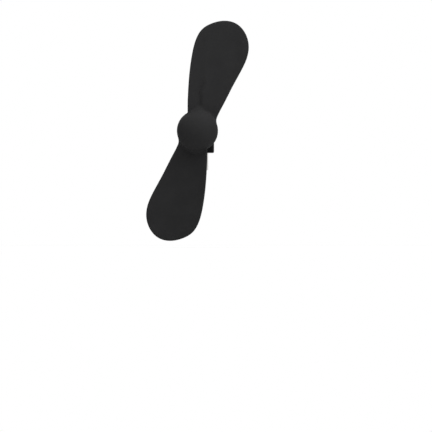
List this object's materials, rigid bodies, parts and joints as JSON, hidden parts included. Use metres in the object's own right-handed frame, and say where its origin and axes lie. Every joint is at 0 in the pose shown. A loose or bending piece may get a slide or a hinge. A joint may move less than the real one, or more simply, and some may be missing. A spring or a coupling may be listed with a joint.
{
  "type": "plug-in phone fan",
  "caption": "Pocket fan with a soft two-bladed propeller on a small motor, whose plug goes into a phone's charging port.",
  "frame": {"origin": "centre of the neck's lower face, round the plug, which meets the host device's edge", "axes": "+Z along the plug's axis, away from the host device; -Y the front, where the propeller is and the air goes; X across the plug's wide side; the motor's axis runs along Y"},
  "size_m": [0.0396, 0.0342, 0.0848],
  "materials": {
    "soft_black": "matt, soft moulded",
    "housing_black": "smooth moulded black",
    "plug_steel": "nickel-plated steel",
    "plug_plastic": "black moulded plastic",
    "contact_gold": "gold-plated spring metal",
    "spring_steel": "bright spring steel",
    "board_green": "glass-fibre board with green coat",
    "resistor_black": "matt with tinned ends",
    "capacitor_tan": "matt ceramic",
    "solder_tin": "bright solder",
    "lead_red": "soft wire covering",
    "lead_black": "soft wire covering",
    "can_steel": "nickel-plated drawn steel",
    "bush_bronze": "sintered bronze",
    "magnet_grey": "matt ferrite",
    "cap_plastic": "white moulded plastic",
    "terminal_brass": "tinned brass",
    "brush_metal": "spring bronze",
    "shaft_steel": "ground steel",
    "core_iron": "stacked stampings",
    "winding_copper": "enamelled copper wire",
    "segment_copper": "bare copper",
    "sleeve_plastic": "moulded insulating plastic",
    "washer_plastic": "slippery plastic",
    "insert_plastic": "hard white plastic"
  },
  "bodies": {
    "housing": {"front_shell": "housing_black", "rear_shell": "housing_black", "motor_can": "can_steel", "front_bush": "bush_bronze", "rear_bush": "bush_bronze", "magnet_right": "magnet_grey", "magnet_left": "magnet_grey", "motor_end_cap": "cap_plastic", "motor_terminals": "terminal_brass", "brush_right": "brush_metal", "brush_left": "brush_metal", "circuit_board": "board_green", "cc_resistors": "resistor_black", "filter_capacitor": "capacitor_tan", "plug_shell": "plug_steel", "plug_insulator": "plug_plastic", "plug_contacts": "contact_gold", "plug_latches": "spring_steel", "lead_positive": "lead_red", "lead_negative": "lead_black", "board_joints": "solder_tin", "terminal_joints": "solder_tin"},
    "rotor": {"motor_shaft": "shaft_steel", "rotor_core": "core_iron", "rotor_windings": "winding_copper", "rotor_spacer": "sleeve_plastic", "commutator_sleeve": "sleeve_plastic", "commutator_segments": "segment_copper", "thrust_washers": "washer_plastic"},
    "propeller": {"propeller": "soft_black", "hub_insert": "insert_plastic"}
  },
  "joints": [
    {"name": "rotor_spin", "type": "hinge", "parent": "housing", "child": "rotor", "pos_m": [0, 0, 0.0084], "axis": [0, 1, 0], "continuous": true},
    {"name": "propeller_pull_off", "type": "slide", "parent": "rotor", "child": "propeller", "axis": [0, -1, 0], "range_m": [0, 0.01]}
  ]
}
